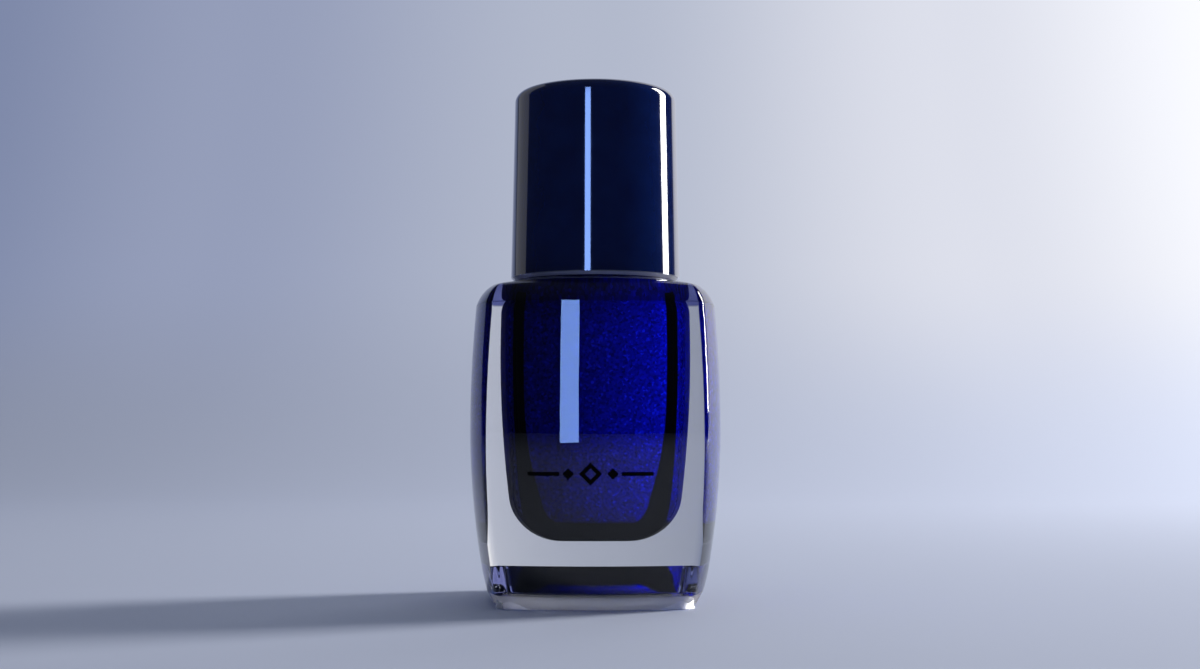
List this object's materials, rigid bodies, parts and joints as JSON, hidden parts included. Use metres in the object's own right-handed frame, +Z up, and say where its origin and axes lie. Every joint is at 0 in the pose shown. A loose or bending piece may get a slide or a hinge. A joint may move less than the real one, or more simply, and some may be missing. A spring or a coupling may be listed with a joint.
{
  "type": "nail polish bottle",
  "caption": "Square heavy-walled glass bottle of nail lacquer with a round glossy screw cap that carries a brush.",
  "frame": {"origin": "centre of the base, on the surface the bottle stands on", "axes": "+Z up along the cap's axis, -Y out of the front face, +X to the right seen from the front"},
  "size_m": [0.0338, 0.0338, 0.0696],
  "materials": {
    "clear_glass": "clear polished flint glass",
    "lacquer": "deep navy lacquer with a fine blue shimmer",
    "ball_steel": "polished stainless steel",
    "liner_foam": "white closed-cell foam",
    "closure_plastic": "black moulded plastic",
    "wand_plastic": "black moulded plastic",
    "staple_brass": "plain brass strip",
    "bristle_nylon": "black nylon filaments",
    "cap_gloss": "high-gloss very dark navy"
  },
  "bodies": {
    "bottle": {"glass_bottle": "clear_glass", "polish": "lacquer"},
    "cap_carrier": {"liner": "liner_foam"},
    "cap": {"overcap": "cap_gloss", "inner_cap": "closure_plastic", "wand": "wand_plastic", "staple": "staple_brass", "bristles": "bristle_nylon"},
    "ball_1": {"mixing_ball_1": "ball_steel"},
    "ball_2": {"mixing_ball_2": "ball_steel"}
  },
  "joints": [
    {"name": "cap_rise", "type": "slide", "parent": "bottle", "child": "cap_carrier", "axis": [0, 0, 1], "range_m": [0, 0.0487]},
    {"name": "cap_turn", "type": "hinge", "parent": "cap_carrier", "child": "cap", "pos_m": [0, 0, 0.0437], "axis": [0, 0, 1], "range_deg": [0, 8280]},
    {"name": "ball_1_shake", "type": "slide", "parent": "bottle", "child": "ball_1", "axis": [0, 0, 1], "range_m": [0, 0.025], "deforming": ["polish"]},
    {"name": "ball_2_shake", "type": "slide", "parent": "bottle", "child": "ball_2", "axis": [0, 0, 1], "range_m": [0, 0.025], "deforming": ["polish"]}
  ],
  "couplings": [
    {"joint": "cap_rise", "follows": "cap_turn", "m_per_rad": 0.00033688}
  ]
}
